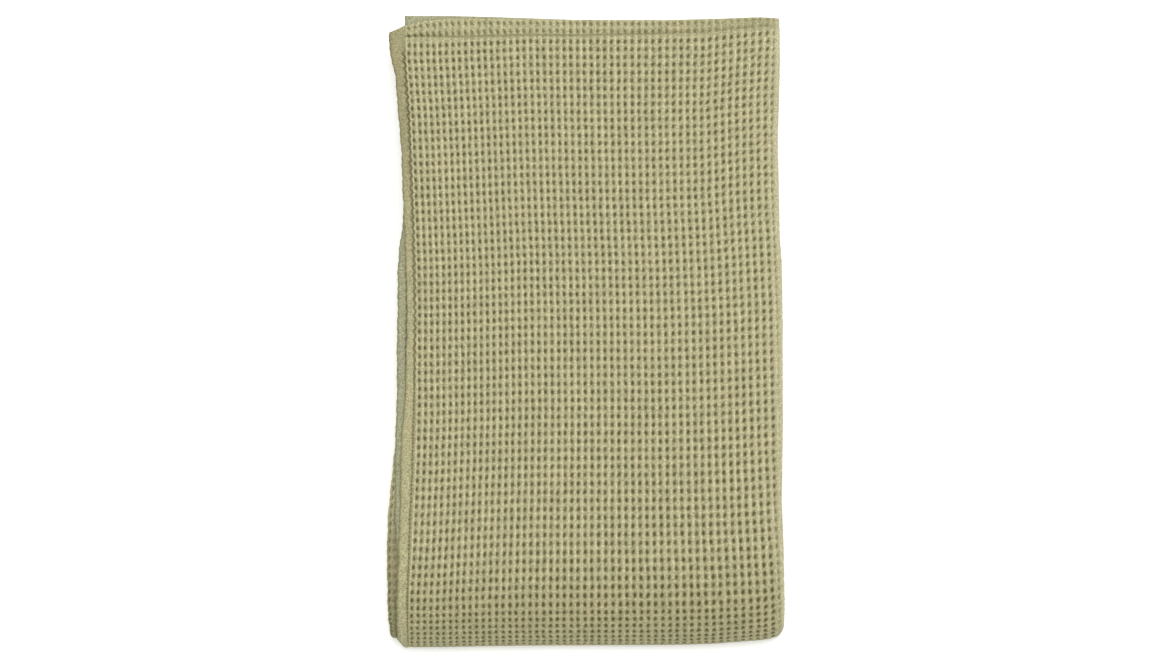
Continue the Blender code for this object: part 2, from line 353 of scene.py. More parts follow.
def fall(share):
    """1 at the edge, and 0 with no slope where the share reaches 1: (1 - t) squared."""
    return (1 - np.clip(share, 0.0, 1.0)) ** 2


# The section: the outline of the four layers, seen end on


def strip(count, **values):
    """Outline points as rows of FIELDS. Each value is one number, or one for each point."""
    columns = [np.broadcast_to(values.get(name, DEFAULTS.get(name, 0.0)), count) for name in FIELDS]
    return np.column_stack(columns)


def column_arc(cells, y):
    """How far along the cloth a column lies from the seam, at the height y of the picture, in metres.

    The first column starts at its own distance, the cells before it share that out, and the columns widen
    evenly from left to right: t (1 - g + g t) of the width, where t is the share of the 54 columns.
    """
    first = column_place(HEAD_Y - y, FIRST_COLUMN)
    width = column_place(HEAD_Y - y, COLUMNS_WIDTH)
    t = np.maximum(cells, 0) / CELLS_ACROSS
    return first * np.clip(1 + cells, 0, 1) + width * t * (1 - COLUMN_GROWTH + COLUMN_GROWTH * t)


def cell_lines(first, last, pattern):
    """The grid lines from one cell to another, with each cell cut by the same pattern, both ends included."""
    whole = np.arange(first, last)[:, None] + pattern[None, :]
    return np.append(whole.ravel(), float(last))


def top_layer_face(pattern):
    """The outer face of the top layer: hem, seam, and the woven field that runs on round the side turn.

    The field's points are placed by their distance along the cloth, in round_the_side.
    """
    seam, hem = EDGES.index("top_seam"), EDGES.index("top_hem")
    shares = TOP_HEM_LINES
    cells = cell_lines(0, CELLS_ACROSS + CELLS_PAST_SIDE, pattern)
    return np.vstack([
        strip(len(shares), start=hem, end=seam, share=shares, height=TOP_LAYER, look_n=1,
              seam=(shares - 1) * LONG_HEM, thick=from_table(THIN_BY_SHARE, shares),
              cell=between(*HEM_CELLS, shares)),
        strip(len(SEAM_CELLS), cell=SEAM_CELLS, arc=1, seam=0),
        strip(len(cells), cell=cells, arc=1, weave=1, seam=0),
    ])


def round_the_side(cells, y, inset):
    """Where a point of the woven field lies in the section, by its distance along the cloth from the seam.

    As far as the side turn it is on the flat. The next stretch goes round a half circle, and what is left
    over runs back on the underside. It gives the distance past the seam, the height and the face's direction.
    """
    arc = column_arc(cells, y)
    flat = edge_at(y, "side_turn") - SIDE_ROOM - inset - edge_at(y, "top_seam")
    angle = np.pi / 2 - np.pi * np.clip((arc - flat) / SIDE_ARC, 0, 1)
    under = np.maximum(arc - flat - SIDE_ARC, 0)
    past_seam = np.minimum(arc, flat) + TOP_LAYER * np.cos(angle) * SIDE_STRETCH - under
    return arc, past_seam, TOP_LAYER * np.sin(angle), np.cos(angle), np.sin(angle)


def inner_layer(left, height, look, rightwards, skip=0, wrong=0.0):
    """One face of a layer that lies inside the stack, from its left edge to the side turn, or back."""
    side = EDGES.index("side_turn")
    spans = SPANS[skip:]
    rows = np.vstack([
        strip(2, start=left, end=left, across=LEFT_SPANS, height=height, look_n=look, wrong=wrong),
        strip(len(spans), start=side, end=side, across=-spans[::-1], height=height, look_n=look, wrong=wrong),
    ])
    return rows if rightwards else rows[::-1]


def turn(edge, radius, centre, angles, out, cells=0.0, weave=0.0):
    """A half circle of outline points about a centre, looking outwards (out = 1) or inwards (out = -1)."""
    a = np.radians(angles)
    return strip(len(a), start=edge, end=edge, across=radius * np.cos(a) * SIDE_STRETCH,
                 height=centre + radius * np.sin(a), look_x=out * np.cos(a), look_n=out * np.sin(a),
                 cell=cells, weave=weave)


def hem_edge(edge, height, look, inwards, wrong=0.0):
    """The plain hem of a layer: its face from the soft edge to just past the seam, or back."""
    lines = HEM_LINES
    rows = strip(len(lines), start=edge, end=edge, across=lines, height=height, look_n=look,
                 seam=lines - LONG_HEM, thick=from_table(THIN_BY_METRE, lines),
                 cell=HEM_CELLS[0] * (1 - lines / LONG_HEM), wrong=wrong)
    return rows if inwards else rows[::-1]


def section(pattern, under_pattern):
    """The outline in two parts: one face of the cloth from the top hem through four layers, and the other."""
    hem, second, under, side = (EDGES.index(n) for n in ("top_hem", "second_hem", "under_turn", "side_turn"))
    woven = pattern is not None
    under_cells = cell_lines(UNDER_CELL, BESIDE_CELL, under_pattern)
    under_angles = -90 - 90 * (under_cells - UNDER_CELL)
    beside = cell_lines(BESIDE_CELL, BESIDE_CELL + CELLS_BESIDE, under_pattern)[1:]
    outer = [
        top_layer_face(pattern) if woven else plain_top_face(under_pattern),
        inner_layer(under, -TOP_LAYER, -1, rightwards=False, skip=PAST_FIELD if woven else 0),
        turn(under, SECOND_LAYER, -PITCH, under_angles, 1, cells=under_cells, weave=1),
        strip(len(beside), start=under, end=under, across=CELL_WIDTH * (beside - BESIDE_CELL),
              height=-SECOND_LAYER, look_n=1, cell=beside, weave=BESIDE_WEAVE),
        inner_layer(under, -SECOND_LAYER, 1, rightwards=True),
        turn(side, SECOND_LAYER, 0.0, TURN_ANGLES, -1),
        inner_layer(second, SECOND_LAYER, -1, rightwards=False),
        hem_edge(second, SECOND_LAYER, -1, inwards=False),
    ]
    back = [
        hem_edge(second, SECOND_LAYER, 1, inwards=True, wrong=1.0),
        inner_layer(second, SECOND_LAYER, 1, rightwards=True, wrong=1.0),
        turn(side, SECOND_LAYER, 0.0, -TURN_ANGLES, 1),
        inner_layer(under, -SECOND_LAYER, -1, rightwards=False),
        turn(under, SECOND_LAYER, -PITCH, INSIDE_TURN_ANGLES, -1),
        inner_layer(under, -TOP_LAYER, 1, rightwards=True),
        turn(side, TOP_LAYER, 0.0, TURN_ANGLES, -1),
        inner_layer(hem, TOP_LAYER, -1, rightwards=False),
        hem_edge(hem, TOP_LAYER, -1, inwards=False),
    ]
    return np.vstack(outer), np.vstack(back)


def plain_top_face(pattern):
    """The outer face of the top layer in the inner runs, woven at its side turn alone."""
    hem, side = EDGES.index("top_hem"), EDGES.index("side_turn")
    cells = cell_lines(0, CELLS_SIDE_TURN, pattern)[1:]
    angles = 90 - 180 * cells / CELLS_SIDE_TURN
    return np.vstack([
        hem_edge(hem, TOP_LAYER, 1, inwards=True),
        inner_layer(hem, TOP_LAYER, 1, rightwards=True),
        turn(side, TOP_LAYER, 0.0, angles, 1, cells=CELLS_ACROSS + cells, weave=1),
    ])


# The path: four runs and three turns, counted in rows of the weave from the front's first row

LEVELS = [HALF_BUNDLE + i * BUNDLE for i in range(LAYERS)]
BACK_Z, THIRD_Z, FOURTH_Z, FRONT_Z = LEVELS
FOOT_START = FOOT_Y + FOOT_ROOM
HEAD_START = HEAD_Y - HEAD_TURN_INSET - HEAD_ROOM
STARTS = np.cumsum([0, CELLS_FRONT, CELLS_FOOT_TURN, CELLS_RUN, CELLS_HEAD_TURN, CELLS_RUN, CELLS_INNER_TURN,
                    CELLS_LAST_RUN])
FRONT_END, FOOT_END, BACK_END, HEAD_END, THIRD_END, INNER_END, LAST_END = STARTS[1:]


def part(cells, first, last):
    """How far along a stretch each count of rows lies: 0 up to its first row and 1 from its last."""
    return np.clip((cells - first) / (last - first), 0, 1)


def run_stations(cells, y, z, normal, inset):
    """Stations on a level run, whose outer face looks up (normal = 1) or down (normal = -1)."""
    columns = (y, z, 0.0, normal, 1.0, inset, cells)
    return np.column_stack([np.broadcast_to(c, cells.shape) for c in columns])


def turn_stations(cells, share, y, z, radius, side, angles, stretch, insets, outward=1.0):
    """Stations on a half circle that is drawn out along Y. side is -1 at the foot and 1 at the head."""
    a = np.radians(angles[0] + (angles[1] - angles[0]) * share)
    along = side * np.cos(a)
    inset = insets[0] + (insets[1] - insets[0]) * share
    columns = (y + stretch * radius * along, z + radius * np.sin(a), outward * along, outward * np.sin(a),
               stretch, inset, cells)
    return np.column_stack([np.broadcast_to(c, cells.shape) for c in columns])


def front_y(cells):
    """The front's rows: they widen towards the foot with the cube of the count.

    The hem takes the 2 cells before them.
    """
    t = cells / CELLS_FRONT
    share = t * (1 + ROW_GROWTH * t**2) / (1 + ROW_GROWTH)
    hem = ROW_START - cells / CELLS_HEM * (HEAD_Y - ROW_START)
    return np.where(cells < 0, hem, ROW_START + share * (FOOT_START - ROW_START))


def last_y(cells):
    """The fourth run's rows are even, and its hem takes the 2 cells past them."""
    t = (cells - INNER_END) / CELLS_LAST_RUN
    past = (cells - LAST_END) / CELLS_HEM
    in_run = FOOT_START + t * (HEAD_START - FOOT_START)
    in_hem = HEAD_START + past * (HEAD_Y - LAST_HEM_INSET - HEAD_START)
    return np.where(cells > LAST_END, in_hem, in_run)


def path_at(cells):
    """The stations of the path at these counts of rows, each from the run or turn that it falls in."""
    inset = RUN_INSET
    wide, tight = (FRONT_Z - BACK_Z) / 2, BUNDLE / 2
    foot_z, head_z = (FRONT_Z + BACK_Z) / 2, (BACK_Z + THIRD_Z) / 2
    foot_turn = part(cells, FRONT_END, FOOT_END)
    head_turn = part(cells, BACK_END, HEAD_END)
    inner_turn = part(cells, THIRD_END, INNER_END)
    back_y = between(FOOT_START, HEAD_START, part(cells, FOOT_END, BACK_END))
    third_y = between(HEAD_START, FOOT_START, part(cells, HEAD_END, THIRD_END))
    legs = [
        run_stations(cells, front_y(cells), FRONT_Z, 1.0, inset["front"]),
        turn_stations(cells, foot_turn, FOOT_START, foot_z, wide, -1.0, (90, -90), FOOT_STRETCH,
                      (inset["front"], inset["back"])),
        run_stations(cells, back_y, BACK_Z, -1.0, inset["back"]),
        turn_stations(cells, head_turn, HEAD_START, head_z, tight, 1.0, (-90, 90), HEAD_STRETCH,
                      (inset["back"], inset["third"])),
        run_stations(cells, third_y, THIRD_Z, 1.0, inset["third"]),
        turn_stations(cells, inner_turn, FOOT_START, foot_z, tight, -1.0, (-90, 90), FOOT_STRETCH,
                      (inset["third"], inset["fourth"]), -1.0),
        run_stations(cells, last_y(cells), FOURTH_Z, -1.0, inset["fourth"]),
    ]
    leg = np.searchsorted(STARTS[1:-1], cells, side="left")
    return np.array(legs)[leg, np.arange(len(cells))]


# Relief


def lean_at(u, v):
    """How far a pit leans to the right for its height: upright at the left, most at the top right.

    It grows with the square of the place across and falls off evenly towards the foot. A bell curve of the
    place along adds a little at the lower left.
    """
    across, along = np.clip(u / CELLS_ACROSS, 0, 1), np.clip(v / CELLS_FRONT, 0, 1)
    top_right = RIGHT_LEAN * across**2 * (1 - RIGHT_LEAN_LOSS * along)
    bell = np.exp(-(((along - LEFT_LEAN_PLACE) / LEFT_LEAN_REACH) ** 2))
    return top_right + LEFT_LEAN * (1 - across) * bell


def pit_size(u, v):
    """How large the pits are for their cells: larger towards the foot on the right, and on the foot turn."""
    low = np.clip((v - LOW_ROW) / LOW_ROWS, 0, 1) * LOW_PIT_SIZE * np.clip(u / CELLS_ACROSS, 0, 1)
    return 1 + low + TURN_PIT_SIZE * foot_turn_share(v)


def foot_turn_share(v):
    """0 on the runs and 1 on the foot turn, with a soft start over its first rows and a soft end."""
    starting = np.clip((v - FRONT_END + TURN_STARTS) / TURN_STARTS, 0, 1)
    return starting * np.clip((FOOT_END - v) / TURN_ENDS, 0, 1)


def weave_relief(u, v, lean):
    """Height of the weave at u cells across and v cells along, with its painted shade and highlight shares.

    A cell's rim is the larger of an upright ridge and a lower crossing bar, each a squared sine that peaks
    on the cell's border. The pit is an oval in the middle, exp(-(distance squared) squared), which leans and
    slides a little in each cell. A painted highlight, a bell curve across, lies on each ridge's right flank,
    the side lit from the right.
    """
    iu, iv = np.floor(u).astype(int), np.floor(v).astype(int)
    fu, fv = u - iu - 0.5, v - iv - 0.5
    at = (np.mod(iu, CELL_TABLE[0]), np.mod(iv, CELL_TABLE[1]))
    size, turned = pit_size(u, v), foot_turn_share(v)
    slide_along = SLIDE_ALONG * CELL_SLIDE[at[0], at[1] - ROWS_OFF]
    p = (fu + (lean + CELL_LEAN[at]) * fv + CELL_SLIDE[at]) / (PIT_HALF_WIDTH * size)
    q = (fv + slide_along) / (PIT_HALF_LENGTH * size)
    pit = np.exp(-((p**2 + q**2) ** PIT_EDGE))
    ridge = np.sin(np.pi * fu) ** 2
    bar = BAR_SHARE * np.sin(np.pi * fv) ** 2
    rim = np.maximum(ridge, bar) + CROSSING_RISE * np.minimum(ridge, bar)
    depth = PIT_DEPTH * (1 - TURN_PIT_LOSS * turned) * between(*PIT_DEPTHS, CELL_TONE[at])
    height = RIDGE_RISE * (1 - TURN_RIDGE_LOSS * turned) * rim - depth * pit
    # Painted highlight on the ridge's right flank, and on the paler ridges and bars
    flank_highlight = np.exp(-(((fu - FLANK_HIGHLIGHT_PLACE) / FLANK_HIGHLIGHT_HALF) ** 2)) * between(*FLANK_HIGHLIGHTS, CELL_FLANK_HIGHLIGHT[at])
    painted_highlight = np.maximum(flank_highlight, RIDGE_CREST * ridge**2 + BAR_CREST * bar)
    painted_highlight = painted_highlight * (1 - CREST_LOSS * pit) * (1 - CREST_LOSS * turned)
    # The pit's painted shade, stronger on the foot turn, which faces away from the light
    return height, pit * between(*PIT_TONES, CELL_TONE[at]) * (1 + TURN_PIT_TONE * turned), painted_highlight


def head_hem(u, v):
    """The head hem: the weave seen through its turned edge, as two rows of dimples with painted shade and
    highlight, and its stitches' share, which adds painted shade along their line.

    The line of stitches is a bell curve along the cloth, round a place that its table gives for each column.
    """
    lean = np.interp(u, [0, CELLS_ACROSS], HEM_LEAN)
    height, pit, painted_highlight = weave_relief(u, v * HEM_ROWS + HEM_FIRST_ROW, lean)
    before = from_table(STITCH_LINE, u)
    stitch = np.exp(-(((v - CELLS_HEM + before) / STITCH_HALF) ** 2))
    return HEM_RELIEF * height, HEM_PIT * pit + STITCH_TONE * stitch, HEM_CREST * painted_highlight, stitch


def fold_shade(u, v, hem, woven, under_turn):
    """How much painted shade, in the painted pit shade's tone, the doubled and folded parts take.

    The long hem has it by the head, the head hem at the right, and the lower layers' turn by the foot, where
    it lies under the top layers.
    """
    side = hem * (1 - woven) * from_table(LONG_HEM_SHADE, v)
    head = np.clip(-v / HEAD_SHADE_STARTS, 0, 1) * woven * from_table(HEAD_HEM_SHADE, u)
    foot = under_turn * from_table(LOWER_TURN_SHADE, v)
    return np.where(v < FOOT_END, side + head + foot, 0.0)


def seam_groove(seam, v):
    """The long hem's seam: a groove with a bell curve across, which swings to each side once in a row.

    Towards the foot the swing dies out and the groove parts into its stitches, two to a row.
    """
    zigzag = 4 * np.abs(np.mod(v, 1.0) - 0.5) - 1
    swing = SEAM_WAVE * np.interp(v, SEAM_WAVE_FADE, [1.0, 0.0])
    groove = np.exp(-(((seam - swing * zigzag) / SEAM_HALF_WIDTH) ** 2))
    gap = 0.5 - 0.5 * np.cos(2 * np.pi * STITCHES * v)
    dots = 1 - np.interp(v, SEAM_WAVE_FADE, [0.0, STITCH_GAP]) * gap
    return groove * np.interp(v, SEAM_STARTS, [0.0, 1.0]) * dots


def relief(lines, stations, arc, look_x):
    """What the weave, hems and seams add outwards to each point, with its painted shade and highlight shares.
    """
    u, v = lines["cell"], stations["cell"]
    woven, on_arc = lines["weave"], lines["arc"] > 0
    # The rim at the right, where the face turns away: less painted pit shade and a painted highlight
    rim = np.where(on_arc, np.clip((look_x - RIM_STARTS) / RIM_GROWS, 0, 1), 0.0)
    from_head = np.where(v < 0, -v, np.where(v > LAST_END, v - LAST_END, 0.0))
    in_hem = np.clip(from_head / HEM_STARTS, 0, 1)
    at_edge = np.clip((CELLS_HEM - from_head) / HEM_ENDS, 0, 1)
    field, pit, painted_highlight = weave_relief(u, v, lean_at(u, v))
    folded, folded_painted_shade, folded_highlight, stitch = head_hem(u, CELLS_HEM - from_head)
    folded = folded - STITCH_DEPTH * stitch * (1 - rim)
    height = (field * (1 - in_hem) + folded * in_hem * at_edge) * woven
    pit = (pit * (1 - in_hem) + folded_painted_shade * in_hem * at_edge * from_table(HEM_PITS, u)) * woven
    painted_highlight = (painted_highlight * (1 - in_hem) + folded_highlight * in_hem) * woven + PLAIN_CREST * (1 - woven)
    seam = np.where(on_arc, arc, lines["seam"])
    groove = seam_groove(seam, v)
    band = (seam < 0) * np.clip(-seam / BAND_EASE, 0, 1) * np.clip((seam + BAND_END) / BAND_END_EASE, 0, 1)
    height = height + HEM_RISE * band - SEAM_DEPTH * groove
    rolled = np.where(seam < 0, np.exp(-(((seam + LONG_HEM) / HEM_ROLL) ** 2)), 0.0)
    # Painted shade: the darkest of the pits', the seam groove's and the hem's rolled edge's
    painted_shade = np.maximum(pit * (1 - RIM_PIT_LOSS * rim), GROOVE_TONE * groove)
    painted_shade = np.maximum(painted_shade, ROLL_TONE * rolled)
    under = (lines["start"] == EDGES.index("under_turn")) & (lines["wrong"] < 0.5)
    in_band = lines["start"] == EDGES.index("top_hem")
    shade = fold_shade(u, v, in_band, woven, under)
    return height, shade + (1 - shade) * painted_shade, np.maximum(painted_highlight, rim * from_table(RIM_CREST, v))


def row_drop(x, y):
    """How far the row at the height y lies below its even place at x, read off its table both ways."""
    across = np.stack([np.interp(x, ROW_ACROSS, np.array(drops) / 1000) for drops in ROW_DROP.values()])
    downs = np.array(list(ROW_DROP))
    place = np.interp(HEAD_Y - y, downs, np.arange(len(downs)))
    low = np.minimum(place.astype(int), len(downs) - 2)
    near = np.take_along_axis(across, low[None], axis=0)[0]
    far = np.take_along_axis(across, low[None] + 1, axis=0)[0]
    return near + (far - near) * (place - low)


def settle(x, y, z, first_layer):
    """Moves the head, rows and foot to their uneven lines, and lowers the stack towards its edges.

    The ridges underneath are pressed flat where they rest.
    """
    hem = np.clip((y - ROW_START) / (HEAD_Y - ROW_START), 0, 1)
    foot = fade((y - FOOT_Y) / FOOT_FADE)
    top = first_layer & (z > FRONT_RUN)
    drop = hem * (end_at(x, "head_drop") + top * end_at(x, "top_layer_drop"))
    drop = drop + (1 - hem) * (1 - foot) * row_drop(x, y)
    y = y - drop + foot * end_at(x, "foot_rise")
    left = np.minimum(edge_at(y, "top_hem"), edge_at(y, "under_turn"))
    z = z * (1 - SIDE_FALL * fall((edge_at(y, "side_turn") - x) / SIDE_REACH))
    z = z * (1 - FOOT_FALL * fall((y - FOOT_Y) / FOOT_REACH))
    z = z * (1 - HEAD_FALL * fall((HEAD_Y - y) / HEAD_REACH))
    z = z * (1 - LEFT_FALL * fall((x - left) / LEFT_REACH))
    return np.stack([x, y, np.maximum(z, 0.0)], axis=-1)


def edge_waver(v, edge):
    """A hem's or turn's slight unevenness: three sine waves along it, under half a millimetre each way."""
    return sum(reach * np.sin(pace * v + shift * EDGE_PHASE * edge) for reach, pace, shift in WAVER)


def surface(outline, cells):
    """Points of the cloth for each station and outline point, with their painted shade, painted highlight and
    wrong-side shares.

    A point lies half the cloth's thickness and its relief out from the middle of the layer, along its face's
    direction in the section, which the station then turns along the path. The last result is the middle of
    the cloth's thickness there, as distance across and height.
    """
    lines = dict(zip(FIELDS, outline.T[:, None, :]))
    stations = dict(zip(STATION, path_at(cells).T[:, :, None]))
    ends = np.minimum(np.abs(cells + CELLS_HEM), np.abs(LAST_END + CELLS_HEM - cells))[:, None]
    inset, on_arc = stations["inset"], lines["arc"] > 0
    arc, past_seam, height, look_x, look_n = round_the_side(lines["cell"], stations["y"], inset)
    height = np.where(on_arc, height, lines["height"])
    look_x = np.where(on_arc, look_x, lines["look_x"])
    look_n = np.where(on_arc, look_n, lines["look_n"])
    rise, pit, painted_highlight = relief(lines, stations, arc, look_x)
    thick = lines["thick"] * from_table(THIN_BY_ROW, ends)
    half = LAYER / 2 * thick + rise * np.clip(ends / RELIEF_EASE, 0, 1)
    out = height + half * look_n
    y = stations["y"] + stations["stretch"] * stations["normal_y"] * out
    z = stations["z"] + stations["normal_z"] * out
    places = edge_places(lines, y, inset, stations["cell"])
    near = chosen(places, outline[:, FIELDS.index("start")])
    far = chosen(places, outline[:, FIELDS.index("end")])
    flat_x = between(near, far, lines["share"]) + lines["across"]
    middle = np.where(on_arc, edge_at(y, "top_seam") + past_seam, flat_x)
    x = middle + half * look_x * SIDE_STRETCH
    points = settle(x, y, z, (lines["height"] > PITCH) | (on_arc & (height > 0)))
    shares = np.clip(pit, 0, 1), np.clip(painted_highlight, 0, 1), np.broadcast_to(lines["wrong"], y.shape)
    return points, shares, np.stack(np.broadcast_arrays(middle, height), axis=-1)


def edge_places(lines, y, inset, cells):
    """The x of each edge of the section at every point's height y, with the inset of its run.

    At the side turn only the points of the turn itself move in with the run. A left turn is counted from its
    middle, which lies its room inside the edge.
    """
    at_turn = lines["across"] > -SPANS[1] / 2
    places = {name: edge_at(y, name) + inset for name in EDGES}
    places["top_hem"] = np.where(inset > 0, places["lower_hem"], places["top_hem"])
    places["side_turn"] = edge_at(y, "side_turn") - SIDE_ROOM - inset * at_turn
    places["under_turn"] = places["under_turn"] + UNDER_ROOM
    return np.array([places[name] + edge_waver(cells, number) for number, name in enumerate(EDGES)])


def chosen(places, numbers):
    """For each outline point, its own edge's places."""
    index = np.broadcast_to(numbers.astype(int), places.shape[1:])
    return np.take_along_axis(places, index[None], axis=0)[0]


# From grid to mesh

# The least length that a normal is divided by, so that an empty face gives no error
SHORTEST = 1e-12


def corner_normals(points):
    """Unit normals of a grid that is closed along its rows: the sum of the four faces round each point.

    A face's normal is the cross product of its diagonals, so larger faces count for more.
    """
    ahead = np.roll(points, -1, axis=1)
    rising = ahead[1:] - points[:-1]
    falling = points[1:] - ahead[:-1]
    faces = np.cross(falling, rising)
    faces = faces + np.roll(faces, 1, axis=1)
    padded = np.concatenate([faces[:1], faces, faces[-1:]])
    normals = padded[1:] + padded[:-1]
    return normals / np.maximum(np.linalg.norm(normals, axis=-1, keepdims=True), SHORTEST)


def end_cap(middle, outer):
    """Triangles across the end of the cloth, between its outer face and its other face.

    Both faces are followed from the top hem, by their distance along the middle of the cloth. Each step on
    one face makes a triangle with the point of the other face that it has come level with.
    """
    back = np.arange(len(middle) - 1, outer - 1, -1)
    faces = [middle[:outer], middle[back]]
    level, beside = (np.append(0, np.cumsum(np.linalg.norm(np.diff(f, axis=0), axis=1))) for f in faces)
    beside = beside * level[-1] / beside[-1]
    step, back_step = np.arange(outer - 1), np.arange(len(back) - 1)
    passed = np.searchsorted(beside[1:], level[1:], side="left")
    outer_passed = np.searchsorted(level[1:], beside[1:], side="right")
    return np.vstack([np.column_stack([step, step + 1, back[passed]]),
                      np.column_stack([outer_passed, back[back_step + 1], back[back_step]])])


def grid_faces(rows, around):
    """The four-cornered faces of a grid that is closed along its rows, looking outwards."""
    i, j = np.meshgrid(np.arange(rows - 1), np.arange(around), indexing="ij")
    a, b = i * around + j, i * around + (j + 1) % around
    return np.stack([a, a + around, b + around, b], axis=-1).reshape(-1, 4)


def set_weave_map(mesh, across, along):
    """The UV map "weave": every face corner's count of cells across and of rows along."""
    corners = np.empty(len(mesh.loops), np.int32)
    mesh.loops.foreach_get("vertex_index", corners)
    shape = len(along), len(across)
    cells = np.broadcast_to(across, shape).ravel()
    rows = np.broadcast_to(along[:, None], shape).ravel()
    uv = np.stack([cells[corners], rows[corners]], axis=-1)
    mesh.uv_layers.new(name="weave").data.foreach_set("uv", uv.astype(np.float32).ravel())


def set_share(mesh, label, values):
    """One value for each point, as the named attribute that the material reads."""
    data = mesh.attributes.new(label, "FLOAT", "POINT").data
    data.foreach_set("value", values.astype(np.float32).ravel())


def cloth(name, faces, cells, material):
    """One stretch of the folded cloth as a closed skin with an end cap at both ends.

    Where it meets its neighbour it is worked out a little past its end, so that both have the same normals.
    """
    outline = np.vstack(faces)
    ends_free = cells[0] <= -CELLS_HEM, cells[-1] >= LAST_END + CELLS_HEM
    before = [] if ends_free[0] else [cells[0] - PAST_END]
    after = [] if ends_free[1] else [cells[-1] + PAST_END]
    points, shares, middle = surface(outline, np.concatenate([before, cells, after]))
    normals = corner_normals(points)
    keep = slice(len(before), len(before) + len(cells))
    points, normals, middle = points[keep], normals[keep], middle[keep]
    rows, around = points.shape[:2]
    first = end_cap(middle[0], len(faces[0]))
    last = end_cap(middle[-1], len(faces[0]))[:, ::-1] + (rows - 1) * around
    mesh = bpy.data.meshes.new(name)
    all_faces = grid_faces(rows, around).tolist() + first.tolist() + last.tolist()
    mesh.from_pydata(points.reshape(-1, 3).tolist(), [], all_faces)
    mesh.update()
    mesh.polygons.foreach_set("use_smooth", np.ones(len(mesh.polygons), bool))
    set_weave_map(mesh, outline[:, FIELDS.index("cell")], cells)
    for label, values in zip(("pit", "painted_highlight", "wrong_side"), shares):
        set_share(mesh, label, values[keep])
    mesh.normals_split_custom_set_from_vertices(normals.reshape(-1, 3).tolist())
    mesh.materials.append(material)
    piece = bpy.data.objects.new(name, mesh)
    bpy.context.scene.collection.objects.link(piece)
    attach(piece, "root")
    return piece


# Materials


def node(tree, kind, inputs=(), links=(), **settings):
    """Adds one node, sets its settings and input values, and links its inputs to other nodes' outputs."""
    made = tree.nodes.new(kind)
    for name, value in settings.items():
        setattr(made, name, value)
    for key, value in dict(inputs).items():
        made.inputs[key].default_value = value
    for key, source in dict(links).items():
        tree.links.new(source, made.inputs[key])
    return made


def laid_over(tree, share, below, colour):
    """A colour laid over what is below it, by its share at each point."""
    made = node(tree, "ShaderNodeMix", {"B": linear(colour)}, {"Factor": share, "A": below}, data_type="RGBA")
    return made.outputs["Result"]


# The dye: its two tones in soft patches and the greyer wrong side; over them the painted highlight on the
# crests and the painted shade in the pits, seams, hem edges and folds
DYE_TONES = ("AEA17B", "959973")
# Painted highlight: the paler tone on the ridges' right flanks, the crests and the rim at the right
PAINTED_HIGHLIGHT_TONE = "C3BD99"
WRONG_SIDE_TONE = "939476"
# Painted shade, laid over the pits, seams, hem edges, stitches and folds where shade falls
PAINTED_SHADE_TONE = "544E29"
BLOOM_TONE = "DCE6CC"
PATCHES = {"Scale": 38.0, "Detail": 3.0}
FIBRES = {"Scale": 620.0, "Detail": 2.0}
FLECKS = {"From Min": 0.3, "From Max": 0.7, "To Min": 0.60, "To Max": 1.35}
YARNS = {"Scale": 1.9, "Distortion": 1.2, "Detail": 2.0, "Detail Scale": 4.0}


def waffle_cotton():
    """Combed cotton, dyed in the piece and washed soft: matt, with a faint bloom of fibre ends from the side.

    Painted shade, a darker and greener tone, lies in the pits, seams, hem edges and folds, and a painted
    highlight on the crests. The yarns run up the ridges and across the bars, six to a cell (1.2 mm apart,
    about twice as coarse as real yarn so that they still show).
    """
    material = bpy.data.materials.new("sage waffle cotton")
    material.use_nodes = True
    tree = material.node_tree
    shader = tree.nodes["Principled BSDF"]
    shader.inputs["Roughness"].default_value = 0.92
    shader.inputs["Specular IOR Level"].default_value = 0.25
    shader.inputs["Sheen Weight"].default_value = 0.24
    shader.inputs["Sheen Tint"].default_value = linear(BLOOM_TONE)
    shader.inputs["Sheen Roughness"].default_value = 0.5
    place = node(tree, "ShaderNodeTexCoord").outputs["Object"]
    weave = node(tree, "ShaderNodeUVMap", uv_map="weave").outputs["UV"]
    pit, painted_highlight, wrong = (node(tree, "ShaderNodeAttribute", attribute_name=n).outputs["Fac"]
                         for n in ("pit", "painted_highlight", "wrong_side"))
    patches = node(tree, "ShaderNodeTexNoise", PATCHES, {"Vector": place})
    tones = dict(zip("AB", map(linear, DYE_TONES)))
    ground = node(tree, "ShaderNodeMix", tones, {"Factor": patches.outputs["Fac"]}, data_type="RGBA")
    turned = laid_over(tree, wrong, ground.outputs["Result"], WRONG_SIDE_TONE)
    # Painted highlight over the crests and the rim
    lit = laid_over(tree, painted_highlight, turned, PAINTED_HIGHLIGHT_TONE)
    fibre = node(tree, "ShaderNodeTexNoise", FIBRES, {"Vector": place})
    fleck = node(tree, "ShaderNodeMapRange", FLECKS, {"Value": fibre.outputs["Fac"]})
    flecked = node(tree, "ShaderNodeVectorMath", links={0: lit, 1: fleck.outputs["Result"]},
                   operation="MULTIPLY")
    # Painted shade over the pits, seams, hem edges and folds
    painted_shade = laid_over(tree, pit, flecked.outputs["Vector"], PAINTED_SHADE_TONE)
    tree.links.new(painted_shade, shader.inputs["Base Color"])
    yarns, picks = (node(tree, "ShaderNodeTexWave", YARNS, {"Vector": weave}, bands_direction=way)
                    for way in "XY")
    both = node(tree, "ShaderNodeMath", links={0: yarns.outputs["Fac"], 1: picks.outputs["Fac"]},
                operation="ADD").outputs[0]
    fuzz = node(tree, "ShaderNodeMath", links={0: both, 1: fibre.outputs["Fac"]}, operation="ADD").outputs[0]
    bump = node(tree, "ShaderNodeBump", {"Strength": 0.45, "Distance": 0.00025}, {"Height": fuzz})
    tree.links.new(bump.outputs["Normal"], shader.inputs["Normal"])
    return material


